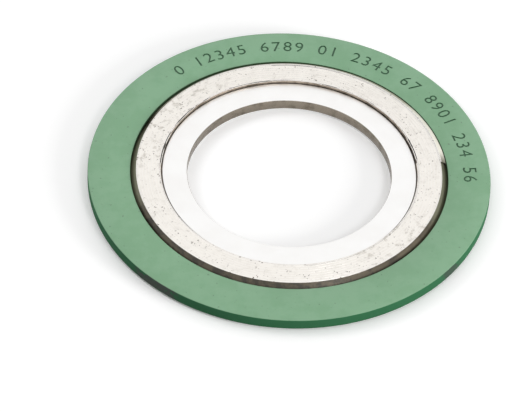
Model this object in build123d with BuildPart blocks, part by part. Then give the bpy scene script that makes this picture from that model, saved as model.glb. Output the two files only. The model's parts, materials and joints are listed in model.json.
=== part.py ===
from build123d import *

import os

# Spiral wound gasket for a raised-face pipe flange, NPS 2, class 300/600, with an
# inner ring. Millimetres. It lies flat: the origin is the centre of the lower
# sealing face and +Z runs along the bore. A solid steel ring centres the gasket
# inside the flange bolts. Inside it a V-shaped steel strip and a graphite strip are
# wound together, with bare plies of steel where the winding starts and ends. A
# second solid ring fills the space between the winding and the bore.

# Winding
winding_height = 4.5  # from one sealing face to the other
winding_inner_radius = 35.45  # bore side of the first ply, where the strip starts
chevron_depth = 2.0  # from the lips of the V out to its fold
strip_thickness = 0.2  # along the radius
filler_thickness = 0.63  # along the radius, pressed between two plies
ply_gap = 0.04  # air left between two bare plies
inner_plies = 2  # bare turns before the filler starts
filled_turns = 7  # turns that open up to take the filler
outer_plies = 2  # bare turns that close the winding
strip_end_azimuth = 9.6  # the strip starts and ends here, in degrees from +X
filler_lead = 90  # degrees of the tapered gap left empty at each end of the filler

# Centering ring
ring_thickness = 3.2  # both rings are cut from plate of this thickness
centering_ring_width = 11.75  # from the lips of its inner edge to the rim
centering_ring_gap = 1.48  # from the lips of the last ply to the lips of the ring
groove_clearance = 0.2  # from the fold of the last ply to the groove
rim_fillet = 0.25

# Inner ring
inner_ring_width = 6.85  # from the bore to the land
inner_ring_gap = 0.4  # from the lips of the first ply to the land
inner_ring_land_height = 0.4  # plain edge above and below the ridge
ridge_clearance = 0.2  # from the ridge to the hollow side of the first ply
bore_chamfer = 0.3

middle_height = winding_height / 2
ring_bottom = (winding_height - ring_thickness) / 2
ring_top = ring_bottom + ring_thickness

# All half turns of the winding join on this vertical plane through the bore's axis.
section_plane = Plane.XZ.rotated((0, 0, strip_end_azimuth))


def wind_half_turns():
    """Lay out the strip as half circles: (side, centre, radius), from the bore out.

    The strip runs clockwise. A half turn starts on the section plane, on the side +1
    or -1 of the bore, and its inner lips lie at the radius from its centre. Centres
    stand to either side of the bore by a quarter of the pitch, so that each half turn
    runs smoothly into the next one and the winding grows by one pitch a turn.
    """
    bare_pitch = strip_thickness + ply_gap
    filled_pitch = strip_thickness + filler_thickness
    pitches = [bare_pitch] * (2 * inner_plies)
    pitches += [filled_pitch] * (2 * filled_turns)
    pitches += [bare_pitch] * (2 * outer_plies)
    half_turns = []
    side = 1
    start = winding_inner_radius
    for pitch in pitches:
        centre = -side * pitch / 4
        radius = side * (start - centre)
        half_turns.append((side, centre, radius))
        start = centre - side * radius
        side = -side
    return half_turns


def turn_axis(centre, direction=-1):
    """Axis of a half turn; clockwise from above unless the direction is +1."""
    return Axis(section_plane.from_local_coords((centre, 0, 0)), (0, 0, direction))


def chevron_outline(side, centre, radius, thickness):
    """Outline of a V-shaped band whose inner lips lie at the radius."""
    inner_lip = centre + side * radius
    outer_lip = inner_lip + side * thickness
    fold = side * chevron_depth
    Polyline(
        (inner_lip, 0),
        (outer_lip, 0),
        (outer_lip + fold, middle_height),
        (outer_lip, winding_height),
        (inner_lip, winding_height),
        (inner_lip + fold, middle_height),
        close=True,
    )


half_turns = wind_half_turns()
last_centre, last_radius = half_turns[-1][1:]
winding_outer_radius = last_centre + last_radius + strip_thickness

# Winding strip: one steel strip, folded to a V with its fold away from the bore
with BuildPart() as winding_strip:
    for side, centre, radius in half_turns:
        with BuildSketch(section_plane):
            with BuildLine():
                chevron_outline(side, centre, radius, strip_thickness)
            make_face()
        revolve(axis=turn_axis(centre), revolution_arc=180)

# Graphite filler: fills the gap between each ply of the strip and the ply outside it
first_full_gap = 2 * inner_plies
last_full_gap = first_full_gap + 2 * filled_turns - 3
tapered_gaps = [
    first_full_gap - 2,
    first_full_gap - 1,
    last_full_gap + 1,
    last_full_gap + 2,
]

with BuildPart() as graphite_filler:
    # Tapered gaps: a band as thick as the full gap, cut back to the ply within it
    for gap in tapered_gaps:
        side, centre, radius = half_turns[gap + 2]
        arc = 180
        direction = -1
        if gap in (tapered_gaps[0], tapered_gaps[-1]):
            arc = 180 - filler_lead
        if gap == tapered_gaps[0]:
            side = -side
            direction = 1
        with BuildSketch(section_plane):
            with BuildLine():
                chevron_outline(side, centre, radius - filler_thickness, filler_thickness)
            make_face()
        revolve(axis=turn_axis(centre, direction), revolution_arc=arc)
    for gap in tapered_gaps:
        side, centre, radius = half_turns[gap]
        cut_thickness = filler_thickness + strip_thickness
        with BuildSketch(section_plane):
            with BuildLine():
                chevron_outline(side, centre, radius - filler_thickness, cut_thickness)
            make_face()
        revolve(axis=turn_axis(centre), revolution_arc=180, mode=Mode.SUBTRACT)
    for gap in range(first_full_gap, last_full_gap + 1):
        side, centre, radius = half_turns[gap]
        with BuildSketch(section_plane):
            with BuildLine():
                chevron_outline(side, centre, radius + strip_thickness, filler_thickness)
            make_face()
        revolve(axis=turn_axis(centre), revolution_arc=180)

# Centering ring: plate with a V groove in its inner edge, which holds the winding
centering_inner_radius = winding_outer_radius + centering_ring_gap
centering_outer_radius = centering_inner_radius + centering_ring_width
groove_radius = winding_outer_radius + chevron_depth + groove_clearance
groove_depth = groove_radius - centering_inner_radius
groove_half_height = groove_depth * middle_height / chevron_depth

with BuildPart() as centering_ring:
    with BuildSketch(Plane.XZ):
        with BuildLine():
            Polyline(
                (centering_inner_radius, ring_bottom),
                (centering_outer_radius, ring_bottom),
                (centering_outer_radius, ring_top),
                (centering_inner_radius, ring_top),
                (centering_inner_radius, middle_height + groove_half_height),
                (groove_radius, middle_height),
                (centering_inner_radius, middle_height - groove_half_height),
                close=True,
            )
        make_face()
    revolve(axis=Axis.Z)
    rim_edges = centering_ring.edges().filter_by(GeomType.CIRCLE).group_by(SortBy.RADIUS)[-1]
    fillet(rim_edges, rim_fillet)

# Inner ring: plate with a ridge round its outer edge, seated in the winding's hollow
inner_ring_land_radius = winding_inner_radius - inner_ring_gap
bore_radius = inner_ring_land_radius - inner_ring_width
ridge_radius = winding_inner_radius + chevron_depth - ridge_clearance

with BuildPart() as inner_ring:
    with BuildSketch(Plane.XZ):
        with BuildLine():
            Polyline(
                (bore_radius, ring_bottom),
                (inner_ring_land_radius, ring_bottom),
                (inner_ring_land_radius, ring_bottom + inner_ring_land_height),
                (ridge_radius, middle_height),
                (inner_ring_land_radius, ring_top - inner_ring_land_height),
                (inner_ring_land_radius, ring_top),
                (bore_radius, ring_top),
                close=True,
            )
        make_face()
    revolve(axis=Axis.Z)
    bore_edges = inner_ring.edges().filter_by(GeomType.CIRCLE).group_by(SortBy.RADIUS)[0]
    chamfer(bore_edges, bore_chamfer)

os.makedirs("parts", exist_ok=True)

centering_ring.part.label = "centering_ring"
export_step(centering_ring.part, "parts/centering_ring.step")
winding_strip.part.label = "winding_strip"
export_step(winding_strip.part, "parts/winding_strip.step")
graphite_filler.part.label = "graphite_filler"
export_step(graphite_filler.part, "parts/graphite_filler.step")
inner_ring.part.label = "inner_ring"
export_step(inner_ring.part, "parts/inner_ring.step")
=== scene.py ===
import json
import random
from math import cos, pi, radians, sin

import bpy
from mathutils import Matrix, Vector


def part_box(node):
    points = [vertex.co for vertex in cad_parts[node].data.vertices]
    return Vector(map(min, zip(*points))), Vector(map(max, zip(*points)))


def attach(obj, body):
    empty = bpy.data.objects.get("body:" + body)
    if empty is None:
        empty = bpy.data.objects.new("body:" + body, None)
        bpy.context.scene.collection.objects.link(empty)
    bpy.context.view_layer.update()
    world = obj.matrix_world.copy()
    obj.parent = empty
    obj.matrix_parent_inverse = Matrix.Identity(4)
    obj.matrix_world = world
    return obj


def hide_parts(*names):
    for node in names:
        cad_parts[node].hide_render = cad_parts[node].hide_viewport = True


# A spiral wound flange gasket lies flat on a pale studio floor. Metres, +Z up.
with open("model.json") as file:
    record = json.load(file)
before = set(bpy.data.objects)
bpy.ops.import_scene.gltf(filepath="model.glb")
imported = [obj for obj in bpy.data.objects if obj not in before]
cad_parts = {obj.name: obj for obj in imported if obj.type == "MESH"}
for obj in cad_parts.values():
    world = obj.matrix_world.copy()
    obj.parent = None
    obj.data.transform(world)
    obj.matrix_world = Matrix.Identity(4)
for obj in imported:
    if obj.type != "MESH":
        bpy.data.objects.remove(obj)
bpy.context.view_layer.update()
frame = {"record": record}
record = frame["record"]

MM = 0.001
mounts = {mount["name"]: mount for mount in record["mounts"]}

ring_low, ring_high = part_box("centering_ring")
winding_low, winding_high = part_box("winding_strip")

ring_bottom = ring_low.z
ring_top = ring_high.z
middle_height = (ring_bottom + ring_top) / 2
rim_radius = mounts["rim"]["dims"]["r_mm"] * MM
bore_radius = mounts["bore"]["dims"]["r_mm"] * MM
winding_top = winding_high.z

lip_radius = 43.9 * MM  # inner edge of the centering ring, above and below its groove
groove_radius = 44.62 * MM
groove_half_height = 0.81 * MM
rim_round = 0.25 * MM
lip_round = 0.25 * MM
land_radius = 35.05 * MM  # outer edge of the inner ring, above and below its ridge
land_height = 0.4 * MM
ridge_radius = 37.25 * MM
bore_round = 0.3 * MM
land_round = 0.08 * MM
ring_segments = 288

strip_end = radians(9.6)  # azimuth of the strip's start and end
strip_thickness = 0.2 * MM
filler_thickness = 0.63 * MM
ply_gap = 0.04 * MM
chevron_depth = 2.0 * MM  # from the lips of the strip's V out to its fold
inner_plies = 2
filled_turns = 7
outer_plies = 2
filler_lead = radians(90)  # tapered gap left empty at each end of the filler
filler_recess = 0.02 * MM  # the graphite lies this far below the steel lips
hair = 0.005 * MM  # a section as thin as this merges to a line
slack = 0.02 * MM  # points this close to a place count as lying there
winding_inner_radius = 35.45 * MM
winding_outer_radius = 42.42 * MM
winding_middle_radius = (winding_inner_radius + winding_outer_radius) / 2
half_turn_steps = 120
section_rows = 3  # rows of faces from a lip of the strip to its fold
first_row = 1 / section_rows  # a row's place: 0 at the lips, 1 at the fold
second_row = 2 / section_rows
lip_bend = 0.85 * MM  # the first ply is bent upright near its lips by this much
lip_dents = 18
lip_dent_depth = (0.06 * MM, 0.24 * MM)  # the shallowest and the deepest
lip_dent_half_length = (0.6 * MM, 4.0 * MM)
# How far the rows of the last ply stand off the ply within, at its cut end
last_ply_bulge = {0: 0.02 * MM, first_row: 0.6 * MM, second_row: 0.05 * MM}

mark_radius = 49.8 * MM  # middle of the stamped row
mark_height = 3.8 * MM
mark_depth = 0.2 * MM
digit_share = 0.7  # height of a digit as a share of the font's size
mark_first = radians(131.0)
mark_last = radians(2.0)
mark_groups = (1, 5, 4, 2, 4, 2, 4, 3, 2)  # digits between two spaces


# Modelling helpers


def polar(azimuth, reach, height=0.0):
    """A point at this reach from the bore's axis, or a step in that direction."""
    return Vector((cos(azimuth) * reach, sin(azimuth) * reach, height))


def deselect():
    """Leave no object selected, so that the next operator acts on one piece."""
    if bpy.context.object and bpy.context.object.mode != "OBJECT":
        bpy.ops.object.mode_set(mode="OBJECT")
    bpy.ops.object.select_all(action="DESELECT")


def pick(piece):
    """Make a piece the one selected and active object."""
    deselect()
    piece.select_set(True)
    bpy.context.view_layer.objects.active = piece


def select_where(piece, kind, chosen):
    """Select in edit mode the vertices, edges or faces that the test picks."""
    bpy.ops.object.mode_set(mode="EDIT")
    bpy.ops.mesh.select_all(action="DESELECT")
    bpy.ops.mesh.select_mode(type=kind)
    bpy.ops.object.mode_set(mode="OBJECT")
    mesh = piece.data
    items = {"VERT": mesh.vertices, "EDGE": mesh.edges, "FACE": mesh.polygons}[kind]
    for item in items:
        item.select = chosen(item)
    bpy.ops.object.mode_set(mode="EDIT")


def edge_points(piece, edge):
    """The two ends of an edge."""
    return [piece.data.vertices[index].co for index in edge.vertices]


def circle_edges(piece, radius, height):
    """A test that picks the edges of one circle round the bore."""

    def on_circle(edge):
        return all(
            abs(point.xy.length - radius) < slack and abs(point.z - height) < slack
            for point in edge_points(piece, edge)
        )

    return on_circle


def plate_ring(name, inner_radius, outer_radius):
    """A flat ring cut from plate: a cylinder with a round hole bridged through it."""
    deselect()
    bpy.ops.mesh.primitive_cylinder_add(
        vertices=ring_segments,
        radius=outer_radius,
        depth=ring_top - ring_bottom,
        location=(0, 0, middle_height),
    )
    piece = bpy.context.object
    piece.name = name
    piece.data.name = name
    bpy.ops.object.transform_apply(location=True)
    select_where(piece, "FACE", lambda face: abs(face.normal.z) > 0.5)
    bpy.ops.mesh.inset(thickness=outer_radius - inner_radius, depth=0)
    bpy.ops.mesh.bridge_edge_loops()
    bpy.ops.object.mode_set(mode="OBJECT")
    return piece


def fold_edge(piece, radius, fold_radius, half_height):
    """Fold the edge wall at a radius to a V, of that half height, out to the fold."""
    near = 0.05 * MM
    low, high = ring_bottom + near, ring_top - near

    def upright(edge):
        ends = edge_points(piece, edge)
        on_wall = all(abs(point.xy.length - radius) < near for point in ends)
        return on_wall and abs(ends[0].z - ends[1].z) > near

    def inside_wall(vertex):
        on_wall = abs(vertex.co.xy.length - radius) < near
        return on_wall and low < vertex.co.z < high

    select_where(piece, "EDGE", upright)
    bpy.ops.mesh.subdivide(number_cuts=3)
    quarter = (ring_top - ring_bottom) / 4
    select_where(piece, "VERT", inside_wall)
    stretch = half_height / quarter
    bpy.ops.transform.resize(value=(1, 1, stretch), center_override=(0, 0, middle_height))
    select_where(
        piece,
        "VERT",
        lambda vertex: inside_wall(vertex) and abs(vertex.co.z - middle_height) < near,
    )
    spread = fold_radius / radius
    bpy.ops.transform.resize(
        value=(spread, spread, 1), center_override=(0, 0, middle_height)
    )
    bpy.ops.object.mode_set(mode="OBJECT")


def round_edges(piece, radius, width, segments):
    """Round the two edges of a ring, top and bottom, at a radius."""
    top = circle_edges(piece, radius, ring_top)
    bottom = circle_edges(piece, radius, ring_bottom)
    select_where(piece, "EDGE", lambda edge: top(edge) or bottom(edge))
    bpy.ops.mesh.bevel(offset=width, segments=segments, affect="EDGES")
    bpy.ops.object.mode_set(mode="OBJECT")


def finish_piece(piece, material, angle=30):
    """Shade a finished piece, give it its material and let it ride on the gasket."""
    pick(piece)
    bpy.ops.object.shade_smooth_by_angle(angle=radians(angle))
    piece.data.materials.clear()
    piece.data.materials.append(material)
    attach(piece, "root")


# Materials


class Signal:
    """A socket of a material's nodes. Arithmetic on signals adds Math nodes."""

    def __init__(self, tree, socket=None):
        self.tree = tree
        self.socket = socket

    def node(self, kind, settings=None, inputs=None, output=0):
        """Add a node: its settings come first, then the values or links it takes."""
        node = self.tree.nodes.new("ShaderNode" + kind)
        for name, value in (settings or {}).items():
            if name == "stops":
                for place, colour in value:
                    stop = node.color_ramp.elements.new(place)
                    stop.color = colour
                node.color_ramp.elements.remove(node.color_ramp.elements[0])
                node.color_ramp.elements.remove(node.color_ramp.elements[-1])
            else:
                setattr(node, name, value)
        for name, value in (inputs or {}).items():
            if isinstance(value, Signal):
                self.tree.links.new(value.socket, node.inputs[name])
            else:
                node.inputs[name].default_value = value
        return Signal(self.tree, node.outputs[output])

    def math(self, operation, *values):
        """Add a Math node on these values, numbers or signals."""
        return self.node("Math", {"operation": operation}, dict(enumerate(values)))

    def __add__(self, other):
        return self.math("ADD", self, other)

    def __radd__(self, other):
        return self.math("ADD", other, self)

    def __sub__(self, other):
        return self.math("SUBTRACT", self, other)

    def __rsub__(self, other):
        return self.math("SUBTRACT", other, self)

    def __mul__(self, other):
        return self.math("MULTIPLY", self, other)

    def __rmul__(self, other):
        return self.math("MULTIPLY", other, self)

    def __truediv__(self, other):
        return self.math("DIVIDE", self, other)


MIX_A, MIX_B, MIX_RESULT = 6, 7, 2  # the Mix node's sockets for colours


def mix(factor, first, second):
    """Blend two colours by a factor from 0 to 1."""
    sockets = {"Factor": factor, MIX_A: first, MIX_B: second}
    return factor.node("Mix", {"data_type": "RGBA"}, sockets, MIX_RESULT)


def ramp(value, low, high):
    """A smooth step from 0 at the low value to 1 at the high one."""
    sockets = {"Value": value, "From Min": low, "From Max": high}
    return value.node("MapRange", {"interpolation_type": "SMOOTHSTEP"}, sockets)


def band(value, low, high, soft):
    """1 between two values, 0 outside them, with soft ends."""
    return ramp(value, low - soft, low) * (1 - ramp(value, high, high + soft))


class Surface:
    """A material with the gasket's own coordinates at hand."""

    def __init__(self, name, constants):
        self.material = bpy.data.materials.new(name)
        self.material.use_nodes = True
        self.tree = self.material.node_tree
        self.shader = self.tree.nodes["Principled BSDF"]
        for socket, value in constants.items():
            self.shader.inputs[socket].default_value = value
        start = Signal(self.tree)
        self.point = start.node("TexCoord", output="Object")
        self.x = self.point.node("SeparateXYZ", None, {0: self.point}, "X")
        self.y = self.point.node("SeparateXYZ", None, {0: self.point}, "Y")
        self.z = self.point.node("SeparateXYZ", None, {0: self.point}, "Z")
        self.radius = self.x.math("SQRT", self.x * self.x + self.y * self.y)
        self.azimuth = self.x.math("ARCTAN2", self.y, self.x)

    def set(self, socket, value):
        """Feed a socket of the surface's shader."""
        self.tree.links.new(value.socket, self.shader.inputs[socket])

    def noise(self, size, detail=2.0, roughness=0.5, vector=None):
        """Even noise whose lumps have about this size."""
        sockets = {
            "Vector": vector or self.point,
            "Scale": 1 / size,
            "Detail": detail,
            "Roughness": roughness,
        }
        return self.point.node("TexNoise", None, sockets, "Fac")

    def around(self, length, width):
        """Coordinates that draw noise out round the bore, in strokes of this size."""
        turn = winding_middle_radius / length
        sockets = {
            "X": self.x / self.radius * turn,
            "Y": self.y / self.radius * turn,
            "Z": (self.radius + self.z) / width,
        }
        return self.point.node("CombineXYZ", None, sockets)

    def bump(self, height, distance, strength=1.0):
        """Relief of this height in metres."""
        sockets = {"Height": height, "Distance": distance, "Strength": strength}
        self.set("Normal", self.point.node("Bump", None, sockets))


def sector(surface, middle, half_width, soft):
    """1 in a sector of the ring round an azimuth in degrees, with soft sides."""
    facing = surface.x * cos(radians(middle)) + surface.y * sin(radians(middle))
    closeness = facing / surface.radius
    return ramp(closeness, cos(radians(half_width + soft)), cos(radians(half_width)))


def most(first, second):
    """The larger of two masks."""
    return first.math("MAXIMUM", first, second)


def ring_paint():
    """Satin green paint over steel: worn off the rim in two places, walls painted darker
    as shade, digits dark with pooled paint and painted shade.
    """
    constants = {"IOR": 1.45, "Specular IOR Level": 0.25, "Coat Roughness": 0.3}
    paint = Surface("ring_paint", constants)
    green = (0.186, 0.368, 0.212, 1)
    pale_green = (0.212, 0.398, 0.240, 1)
    # painted shade: a darker green for the rim and lip walls than for the face
    wall_shade_green = (0.034, 0.145, 0.064, 1)
    # painted shade: near-black green for the lip's wall in the gap by the winding
    lip_shade_green = (0.045, 0.090, 0.045, 1)
    # dark in the digits: partly paint pooled there, partly painted shade in the recess
    digit_pooled_and_shade_green = (0.020, 0.088, 0.034, 1)
    fleck_grey = (0.10, 0.14, 0.11, 1)
    steel = (0.085, 0.080, 0.082, 1)
    cloud = ramp(paint.noise(8 * MM, 4.0, 0.6), 0.38, 0.62)
    colour = mix(cloud, green, pale_green)
    flecks = ramp(paint.noise(0.9 * MM, 1.0), 0.735, 0.765)
    colour = mix(flecks * 0.55, colour, fleck_grey)
    rim_wall = ramp(paint.radius, rim_radius - 0.16 * MM, rim_radius - 0.04 * MM)
    lip_wall = 1 - ramp(paint.radius, lip_radius + 0.03 * MM, lip_radius + 0.12 * MM)
    below_top = 1 - ramp(paint.z, ring_top - 0.12 * MM, ring_top - 0.02 * MM)
    # Painted shade: the rim wall below the face and the lip wall are coloured darker
    # green.
    wall = most(rim_wall * below_top, lip_wall)
    colour = mix(wall, colour, wall_shade_green)
    # Painted shade: the lip's inner wall, in the gap by the winding, is coloured
    # near-black green.
    colour = mix(lip_wall, colour, lip_shade_green)
    # The digits' recess is coloured dark: partly pooled paint, partly painted shade.
    in_digit = ramp(ring_top - paint.z, 0.02 * MM, 0.08 * MM)
    on_face = band(paint.radius, lip_radius + MM, rim_radius - MM, 0.2 * MM)
    digit = in_digit * on_face * ramp(paint.z, middle_height, middle_height + 0.2 * MM)
    colour = mix(digit, colour, digit_pooled_and_shade_green)
    worn_sectors = most(sector(paint, 232, 5, 4) * 0.8, sector(paint, 325, 2, 3) * 0.6)
    worn = rim_wall * worn_sectors * ramp(paint.noise(2.2 * MM, 4.0), 0.36, 0.46)
    paint.set("Base Color", mix(worn, colour, steel))
    paint.set("Metallic", worn * 0.5)
    paint.set("Coat Weight", (1 - most(worn, wall)) * 0.7)
    paint.set("Roughness", 0.38 + wall * 0.4 + (paint.noise(5 * MM, 3.0) - 0.5) * 0.12)
    nibs = ramp(paint.noise(1.1 * MM, 1.0), 0.70, 0.78)
    peel = paint.noise(0.9 * MM, 2.0)
    paint.bump(peel * 0.25 + nibs - worn * 0.5, 0.02 * MM)
    return paint.material


def ring_steel():
    """Bright stainless plate: fine turning marks, and a darker wall in the bore, partly a
    duller finish and partly painted shade.
    """
    steel = Surface("ring_steel", {"Metallic": 1.0})
    face = (0.97, 0.965, 0.955, 1)
    dull_face = (0.94, 0.93, 0.915, 1)
    # The bore wall is darker than the face: partly a duller cut finish, partly painted
    # shade for the dark reflection it shows.
    wall = (0.27, 0.235, 0.19, 1)
    stained_and_shaded_wall = (0.15, 0.125, 0.095, 1)
    in_bore = 1 - ramp(steel.radius, bore_radius + 0.05 * MM, bore_radius + 0.2 * MM)
    cloud = ramp(steel.noise(7 * MM, 3.0), 0.3, 0.7)
    colour = mix(cloud, face, dull_face)
    stain = ramp(steel.noise(2.6 * MM, 3.0), 0.45, 0.75)
    bore_wall_dull_and_shade_colour = mix(stain, wall, stained_and_shaded_wall)
    steel.set("Base Color", mix(in_bore, colour, bore_wall_dull_and_shade_colour))
    turning = steel.noise(1.0, 3.0, 0.6, steel.around(14 * MM, 0.1 * MM))
    steel.set("Roughness", 0.3 + turning * 0.1 - in_bore * 0.12)
    steel.bump(turning * (0.12 + in_bore), 0.05 * MM)
    return steel.material


def sealing_marks(surface):
    """Marks that run over steel and graphite alike: streaks, smears and pits."""
    # Streaks are stronger in two rubbed sectors of the face.
    rubbed_and_side_lit = most(sector(surface, 42, 18, 22) * 0.8, sector(surface, 100, 30, 25) * 0.35)
    fine = surface.noise(1.0, 5.0, 0.72, surface.around(5 * MM, 0.16 * MM))
    streaks = ramp(fine, 0.52, 0.74) * (0.2 + rubbed_and_side_lit)
    smeared = most(sector(surface, 152, 22, 15), sector(surface, 321, 12, 10))
    smears = ramp(surface.noise(2.2 * MM, 5.0, 0.65), 0.5, 0.68) * (0.28 + smeared * 0.72)
    specks = ramp(surface.noise(0.6 * MM, 1.5, 0.5), 0.65, 0.71)
    patchy = ramp(surface.noise(5 * MM, 2.0), 0.42, 0.6)
    pits = specks * (0.25 + patchy * 0.75)
    return streaks, smears, pits


def strip_steel():
    """Stainless strip: bright on its cut edges, brown on its sides from heat tint and
    painted shade, with painted highlights and a paler painted tone on some of them.
    """
    strip = Surface("strip_steel", {"IOR": 1.8})
    edge = (0.93, 0.90, 0.855, 1)
    worn_edge = (0.66, 0.62, 0.56, 1)
    pit = (0.20, 0.17, 0.14, 1)
    # The sides' brown is partly heat tint, partly painted shade.
    side = (0.085, 0.068, 0.042, 1)
    dark_side = (0.035, 0.028, 0.018, 1)
    # painted highlights for the last ply's upper slope on the far side
    lit_side_highlight = (0.50, 0.46, 0.37, 1)
    cream_side_highlight = (0.88, 0.84, 0.74, 1)
    rolled_side = (0.16, 0.13, 0.085, 1)
    # a paler tone painted on the sides towards azimuths 0 and 180, as if lit from there
    side_lit_tone = (0.20, 0.20, 0.13, 1)
    bore_brown = (0.46, 0.385, 0.31, 1)
    dark_bore_brown = (0.22, 0.175, 0.13, 1)
    on_face = ramp(strip.z, winding_top - 0.06 * MM, winding_top - 0.015 * MM)
    under = 1 - ramp(strip.z, 0.015 * MM, 0.06 * MM)
    streaks, smears, pits = sealing_marks(strip)
    edge_colour = mix(most(streaks, smears), edge, worn_edge)
    edge_colour = mix(pits, edge_colour, pit)
    blotches = ramp(strip.noise(3.2 * MM, 4.0, 0.6), 0.45, 0.62)
    side_colour = mix(blotches, side, dark_side)
    rolling = strip.noise(1.0, 2.0, 0.5, strip.around(25 * MM, 0.25 * MM))
    side_colour = mix(ramp(rolling, 0.55, 0.68) * 0.5, side_colour, rolled_side)
    # Painted highlight: the upper slope of the last ply on the far side is coloured pale,
    # and cream near its cut end, as if lit.
    opened = sector(strip, 82, 66, 8) * ramp(strip.z, middle_height, middle_height + MM)
    outermost = ramp(strip.radius, winding_outer_radius, winding_outer_radius + 0.1 * MM)
    near_end = sector(strip, 20, 14, 12)
    opened_highlight_colour = mix(near_end, lit_side_highlight, cream_side_highlight)
    side_colour = mix(opened * outermost, side_colour, opened_highlight_colour)
    # Painted light: the sides are coloured paler towards azimuths 0 and 180, as if lit
    # from there.
    rubbed_and_side_lit = most(sector(strip, -4, 10, 12), sector(strip, 182, 12, 12)) * (1 - opened)
    side_colour = mix(rubbed_and_side_lit * 0.8, side_colour, side_lit_tone)
    behind_first = winding_inner_radius + strip_thickness
    bore_side = 1 - ramp(strip.radius, behind_first, behind_first + 0.2 * MM)
    bore_colour = mix(blotches, bore_brown, dark_bore_brown)
    side_colour = mix(bore_side, side_colour, bore_colour)
    strip.set("Base Color", mix(most(on_face, under), side_colour, edge_colour))
    strip.set("Metallic", 0.5 + most(on_face, under) * 0.45)
    strip.set("Roughness", 0.36 + streaks * 0.2 + pits * 0.2)
    strip.bump(rolling * 0.5 - streaks * 0.3 - pits, 0.03 * MM)
    return strip.material


def pressed_graphite():
    """Graphite pressed flush between the plies: its dark grey painted pale as sheen, with
    streaks and small pits.
    """
    graphite = Surface("pressed_graphite", {"IOR": 1.8})
    # Painted sheen: the graphite's own dark grey is coloured pale, as it looks under the
    # lamps.
    pale = (0.93, 0.895, 0.84, 1)
    soft_pale = (0.885, 0.85, 0.795, 1)
    dull = (0.54, 0.505, 0.45, 1)
    pit = (0.20, 0.175, 0.15, 1)
    streaks, smears, pits = sealing_marks(graphite)
    tone = ramp(graphite.noise(3.5 * MM, 3.0), 0.3, 0.7)
    colour = mix(tone, pale, soft_pale)
    colour = mix(streaks, colour, dull)
    colour = mix(smears * 0.7, colour, dull)
    graphite.set("Base Color", mix(pits * 0.85, colour, pit))
    graphite.set("Metallic", 0.9 - pits * 0.6)
    graphite.set("Roughness", 0.42 + streaks * 0.15 + pits * 0.2)
    graphite.bump(streaks * -0.3 - pits, 0.05 * MM)
    return graphite.material


# Pieces


def digit_places():
    """The stamped digits in order, each with its azimuth on the ring."""
    slots = sum(mark_groups) + len(mark_groups) - 1
    step = (mark_last - mark_first) / (slots - 1)
    slot = 0
    digit = 0
    for count in mark_groups:
        for _ in range(count):
            yield str(digit % 10), mark_first + slot * step
            slot += 1
            digit += 1
        slot += 1


def make_digit(digit, azimuth, chance):
    """One digit of the stamp, a little out of line, sunk into the ring's upper face."""
    reach = mark_radius + chance.uniform(-0.1, 0.1) * MM
    deselect()
    bpy.ops.object.text_add(
        location=polar(azimuth, reach, ring_top),
        rotation=(0, 0, azimuth - pi / 2 + radians(chance.uniform(-3, 3))),
    )
    text = bpy.context.object
    text.data.body = digit
    text.data.align_x = "CENTER"
    text.data.align_y = "CENTER"
    text.data.size = mark_height / digit_share
    text.data.extrude = mark_depth * chance.uniform(0.6, 1.0)
    text.data.resolution_u = 3
    bpy.ops.object.convert(target="MESH")
    return bpy.context.object


def stamp_digits(ring):
    """Press a row of plain digits into the ring's upper face."""
    chance = random.Random(4)
    digits = [make_digit(digit, azimuth, chance) for digit, azimuth in digit_places()]
    deselect()
    for digit in digits:
        digit.select_set(True)
    bpy.context.view_layer.objects.active = digits[0]
    bpy.ops.object.join()
    stamp = bpy.context.object
    pick(ring)
    cut = ring.modifiers.new("stamp", "BOOLEAN")
    cut.operation = "DIFFERENCE"
    cut.solver = "EXACT"
    cut.object = stamp
    bpy.ops.object.modifier_apply(modifier=cut.name)
    pick(stamp)
    bpy.ops.object.delete()


def make_centering_ring():
    """The painted outer ring, grooved inside for the winding, with its stamped row."""
    ring = plate_ring("painted_centering_ring", lip_radius, rim_radius)
    fold_edge(ring, lip_radius, groove_radius, groove_half_height)
    round_edges(ring, rim_radius, rim_round, 4)
    round_edges(ring, lip_radius, lip_round, 3)
    stamp_digits(ring)
    finish_piece(ring, ring_paint())
    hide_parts("centering_ring")


def make_inner_ring():
    """The bare inner ring, with a ridge round its outer edge for the winding."""
    ring = plate_ring("turned_inner_ring", bore_radius, land_radius)
    fold_edge(ring, land_radius, ridge_radius, (ring_top - ring_bottom) / 2 - land_height)
    round_edges(ring, bore_radius, bore_round, 3)
    round_edges(ring, land_radius, land_round, 2)
    finish_piece(ring, ring_steel())
    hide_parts("inner_ring")


def wind_half_turns():
    """Lay out the strip as half circles: (azimuth, centre, radius), from the bore out.

    Each runs clockwise from its azimuth, with its inner lips at the radius from its
    centre. The centres stand to either side of the bore's axis, a quarter pitch off.
    """
    bare_pitch = strip_thickness + ply_gap
    filled_pitch = strip_thickness + filler_thickness
    pitches = [bare_pitch] * (2 * inner_plies)
    pitches += [filled_pitch] * (2 * filled_turns)
    pitches += [bare_pitch] * (2 * outer_plies)
    half_turns = []
    side = 1
    start = winding_inner_radius
    for pitch in pitches:
        offset = -side * pitch / 4
        radius = side * (start - offset)
        azimuth = strip_end if side > 0 else strip_end + pi
        half_turns.append((azimuth, polar(strip_end, offset), radius))
        start = offset - side * radius
        side = -side
    return half_turns


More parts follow.
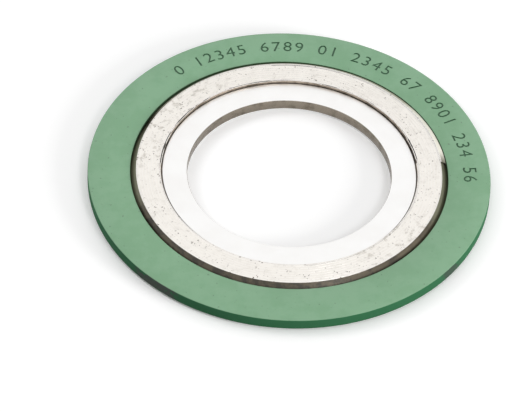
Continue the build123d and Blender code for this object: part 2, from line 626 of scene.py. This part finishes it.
def folded_section(name, azimuth, centre, reach, thickness, rows=1):
    """The V section of a ply, or at a hair's thickness the V line of one side of it.

    Each of its slopes has this many rows. It is left in edit mode, selected and ready
    to be wound.
    """
    deselect()
    bpy.ops.mesh.primitive_plane_add(
        size=1,
        location=centre + polar(azimuth, reach + thickness / 2, winding_top / 2),
        rotation=(pi / 2, 0, azimuth),
    )
    section = bpy.context.object
    section.name = name
    section.data.name = name
    section.scale = (thickness, winding_top, 1)
    bpy.ops.object.transform_apply(location=True, rotation=True, scale=True)
    bpy.ops.object.mode_set(mode="EDIT")
    bpy.ops.mesh.select_all(action="SELECT")
    bpy.ops.mesh.delete(type="ONLY_FACE")
    bpy.ops.mesh.select_all(action="SELECT")
    bpy.ops.mesh.remove_doubles(threshold=2 * hair)
    bpy.ops.object.mode_set(mode="OBJECT")

    def upright(edge):
        ends = edge_points(section, edge)
        return abs(ends[0].z - ends[1].z) > winding_top / 2

    def in_row(place):
        """A test that picks the points of one row, from 0 at the lips to 1."""

        def on_row(vertex):
            off_lip = min(vertex.co.z, winding_top - vertex.co.z)
            return abs(off_lip - place * winding_top / 2) < 0.1 * MM

        return on_row

    select_where(section, "EDGE", upright)
    bpy.ops.mesh.subdivide(number_cuts=2 * rows - 1)
    bpy.ops.object.mode_set(mode="OBJECT")
    for row in range(1, rows + 1):
        select_where(section, "VERT", in_row(row / rows))
        bpy.ops.transform.translate(value=polar(azimuth, chevron_depth * row / rows))
        bpy.ops.object.mode_set(mode="OBJECT")
    bpy.ops.object.mode_set(mode="EDIT")
    bpy.ops.mesh.select_all(action="SELECT")
    return section


def wind(half_turns, first_angle=pi, last_angle=pi):
    """Spin the selected section on, half turn by half turn, each about its centre.

    About an axis that points up, spin turns clockwise.
    """
    for number, (azimuth, centre, radius) in enumerate(half_turns):
        angle = pi
        if number == 0:
            angle = first_angle
        elif number == len(half_turns) - 1:
            angle = last_angle
        bpy.ops.mesh.spin(
            steps=round(half_turn_steps * angle / pi),
            angle=angle,
            center=centre,
            axis=(0, 0, 1),
        )


def close_winding(piece):
    """Close the ends of a wound piece and turn its faces outwards."""
    bpy.ops.mesh.select_all(action="SELECT")
    bpy.ops.mesh.fill_holes(sides=0)
    bpy.ops.mesh.select_all(action="SELECT")
    bpy.ops.mesh.normals_make_consistent(inside=False)
    bpy.ops.object.mode_set(mode="OBJECT")


def make_strip():
    """The steel strip, folded to a V and wound from the bore out to its cut end."""
    half_turns = wind_half_turns()
    azimuth, centre, radius = half_turns[0]
    strip = folded_section(
        "wound_strip", azimuth, centre, radius, strip_thickness, section_rows
    )
    wind(half_turns)
    close_winding(strip)
    dent_inner_lip(strip, half_turns[1])
    for half_turn in half_turns[:2]:
        bend_upright(strip, half_turn)
    bulge_last_ply(strip, half_turns[-1])
    finish_piece(strip, strip_steel())
    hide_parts("winding_strip")


def row_of(half_turn, place):
    """A test that picks one row of a half turn: 0 at its lips, 1 at its fold."""
    azimuth, centre, radius = half_turn
    across = polar(azimuth - pi / 2, 1)

    def on_row(vertex):
        off_lip = min(vertex.co.z, winding_top - vertex.co.z)
        from_centre = vertex.co - centre
        off_ply = from_centre.xy.length - radius - place * chevron_depth
        on_ply = -slack < off_ply < strip_thickness + slack
        at_height = abs(off_lip - place * winding_top / 2) < slack
        return on_ply and at_height and from_centre.dot(across) > -slack

    return on_row


def bend_upright(strip, half_turn):
    """Bend a half turn of the first ply upright near its lips."""
    azimuth, centre, radius = half_turn
    select_where(strip, "VERT", row_of(half_turn, first_row))
    shrink = 1 - lip_bend / radius
    bpy.ops.transform.resize(value=(shrink, shrink, 1), center_override=centre)
    bpy.ops.object.mode_set(mode="OBJECT")


def dent_inner_lip(strip, half_turn):
    """Nick the upper lip of a half turn, each dent pushed in towards the bore."""
    azimuth, centre, radius = half_turn
    chance = random.Random(11)
    on_lip = row_of(half_turn, 0)
    for _ in range(lip_dents):
        middle = polar(azimuth - chance.uniform(0.05, 0.95) * pi, 1)
        half_angle = chance.uniform(*lip_dent_half_length) / radius
        depth = chance.uniform(*lip_dent_depth)

        def in_dent(vertex):
            near = vertex.co.xy.angle(middle.xy) < half_angle
            return near and vertex.co.z > middle_height and on_lip(vertex)

        select_where(strip, "VERT", in_dent)
        bpy.ops.transform.translate(value=middle * -depth)
        bpy.ops.object.mode_set(mode="OBJECT")


def bulge_last_ply(strip, half_turn):
    """Let the last half turn bulge off the ply within, most of all at its cut end."""
    azimuth, centre, radius = half_turn
    start = centre + polar(azimuth, radius)
    for place, bulge in last_ply_bulge.items():
        select_where(strip, "VERT", row_of(half_turn, place))
        spread = 1 + bulge / (2 * radius)
        bpy.ops.transform.resize(value=(spread, spread, 1), center_override=start)
        bpy.ops.object.mode_set(mode="OBJECT")


def filler_wall(half_turns, gap_to_ply):
    """One wall of the filler, along a side of the plies that it lies against."""
    azimuth, centre, radius = half_turns[0]
    start = azimuth - filler_lead
    wall = folded_section("pressed_filler", start, centre, radius + gap_to_ply, hair)
    wind(half_turns, pi - filler_lead, pi - filler_lead)
    bpy.ops.object.mode_set(mode="OBJECT")
    return wall


def make_filler():
    """The graphite between the plies: two wound walls, joined over and under."""
    half_turns = wind_half_turns()
    first_gap = 2 * inner_plies - 2
    gaps = 2 * filled_turns + 2
    within = half_turns[first_gap : first_gap + gaps]
    outside = half_turns[first_gap + 2 : first_gap + 2 + gaps]
    inner_wall = filler_wall(within, strip_thickness)
    filler = filler_wall(outside, 0.0)
    inner_wall.select_set(True)
    bpy.ops.object.join()
    filler.name = "pressed_filler"
    for height in (0, winding_top):
        select_where(filler, "EDGE", level_edges(filler, height))
        bpy.ops.mesh.bridge_edge_loops(number_cuts=2, interpolation="LINEAR")
        bpy.ops.object.mode_set(mode="OBJECT")
    for height, step in ((0, filler_recess), (winding_top, -filler_recess)):
        select_where(filler, "VERT", lambda v: abs(v.co.z - height) < 0.01 * MM)
        bpy.ops.transform.translate(value=(0, 0, step))
        bpy.ops.object.mode_set(mode="OBJECT")
    bpy.ops.object.mode_set(mode="EDIT")
    close_winding(filler)
    finish_piece(filler, pressed_graphite())
    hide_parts("graphite_filler")


def level_edges(piece, height):
    """A test that picks the edges that lie at a height."""

    def at_height(edge):
        return all(abs(point.z - height) < 0.01 * MM for point in edge_points(piece, edge))

    return at_height


# Studio


def seen_directly(signal):
    """1 for rays from the camera, or by way of a reflection or clear glass."""
    camera = signal.node("LightPath", output="Is Camera Ray")
    glossy = signal.node("LightPath", output="Is Glossy Ray")
    clear = signal.node("LightPath", output="Is Transmission Ray")
    return signal.math("MINIMUM", camera + glossy + clear, 1.0)


fill_strength = 0.3  # of the surroundings, as a light
floor_size = 8.0
floor_white = (0.97, 0.97, 0.97, 1)
floor_grey = (0.35, 0.35, 0.35, 1)  # of the light that the floor throws back up
floor_glow = (0.14, 0.14, 0.14, 1)
black = (0, 0, 0, 1)


def make_floor():
    """A white floor that reaches past every view, and throws little light back up."""
    deselect()
    bpy.ops.mesh.primitive_plane_add(size=floor_size, location=(0, 0, winding_low.z))
    floor = bpy.context.object
    floor.name = "floor"
    constants = {"Roughness": 0.9, "Specular IOR Level": 0.1, "Emission Strength": 1.0}
    surface = Surface("floor", constants)
    seen = seen_directly(surface.point)
    surface.set("Base Color", mix(seen, floor_grey, floor_white))
    surface.set("Emission Color", mix(seen, black, floor_glow))
    floor.data.materials.append(surface.material)


def make_world():
    """White surroundings, dimmer as a light than as what camera and metal see."""
    world = bpy.data.worlds.new("studio")
    bpy.context.scene.world = world
    world.use_nodes = True
    tree = world.node_tree
    seen = seen_directly(Signal(tree))
    strength = fill_strength + seen * (1.0 - fill_strength)
    background = tree.nodes["Background"]
    background.inputs["Color"].default_value = (1, 1, 1, 1)
    tree.links.new(strength.socket, background.inputs["Strength"])


def add_lamp(name, azimuth, elevation, distance, size, radiance, mirrored=False):
    """A square softbox that faces the gasket from this direction, in degrees.

    Metal mirrors the white surroundings, and of the lamps only the mirrored one.
    """
    toward = polar(radians(azimuth), cos(radians(elevation)), sin(radians(elevation)))
    deselect()
    bpy.ops.object.light_add(type="AREA", location=toward * distance)
    lamp = bpy.context.object
    lamp.name = name
    lamp.data.energy = radiance * pi * size**2
    lamp.data.size = size
    lamp.visible_glossy = mirrored
    lamp.rotation_euler = toward.to_track_quat("Z", "Y").to_euler()


def make_camera():
    """A long lens that looks down on the gasket, a little rolled."""
    azimuth = radians(-89.5)
    elevation = radians(45.85)
    roll = radians(-3.13)
    distance = 1.2
    right_of_axis = 8.1 * MM
    above_axis = 9.3 * MM
    back = polar(azimuth, cos(elevation), sin(elevation))
    level_up = polar(azimuth, -sin(elevation), cos(elevation))
    level_right = polar(azimuth + pi / 2, 1.0)
    right = level_right * cos(roll) - level_up * sin(roll)
    up = level_right * sin(roll) + level_up * cos(roll)
    target = Vector((0, 0, ring_top))
    place = target + back * distance - right * right_of_axis - up * above_axis
    deselect()
    bpy.ops.object.camera_add()
    camera = bpy.context.object
    camera.name = "camera"
    camera.data.sensor_width = 36
    camera.data.lens = 301
    facing = Matrix((right, up, back)).transposed().to_4x4()
    camera.matrix_world = Matrix.Translation(place) @ facing
    bpy.context.scene.camera = camera


make_centering_ring()
make_inner_ring()
make_strip()
make_filler()
make_floor()
make_world()
add_lamp("overhead_softbox", 95, 62, 1.3, 2.2, 0.68)
add_lamp("left_softbox", 165, 40, 0.45, 0.16, 4.0)
add_lamp("low_softbox", 332, 14, 1.0, 0.3, 24.0)
add_lamp("key_softbox", 306, 43, 1.0, 0.2, 12.0, mirrored=True)
make_camera()

bpy.context.scene.view_settings.view_transform = "Standard"
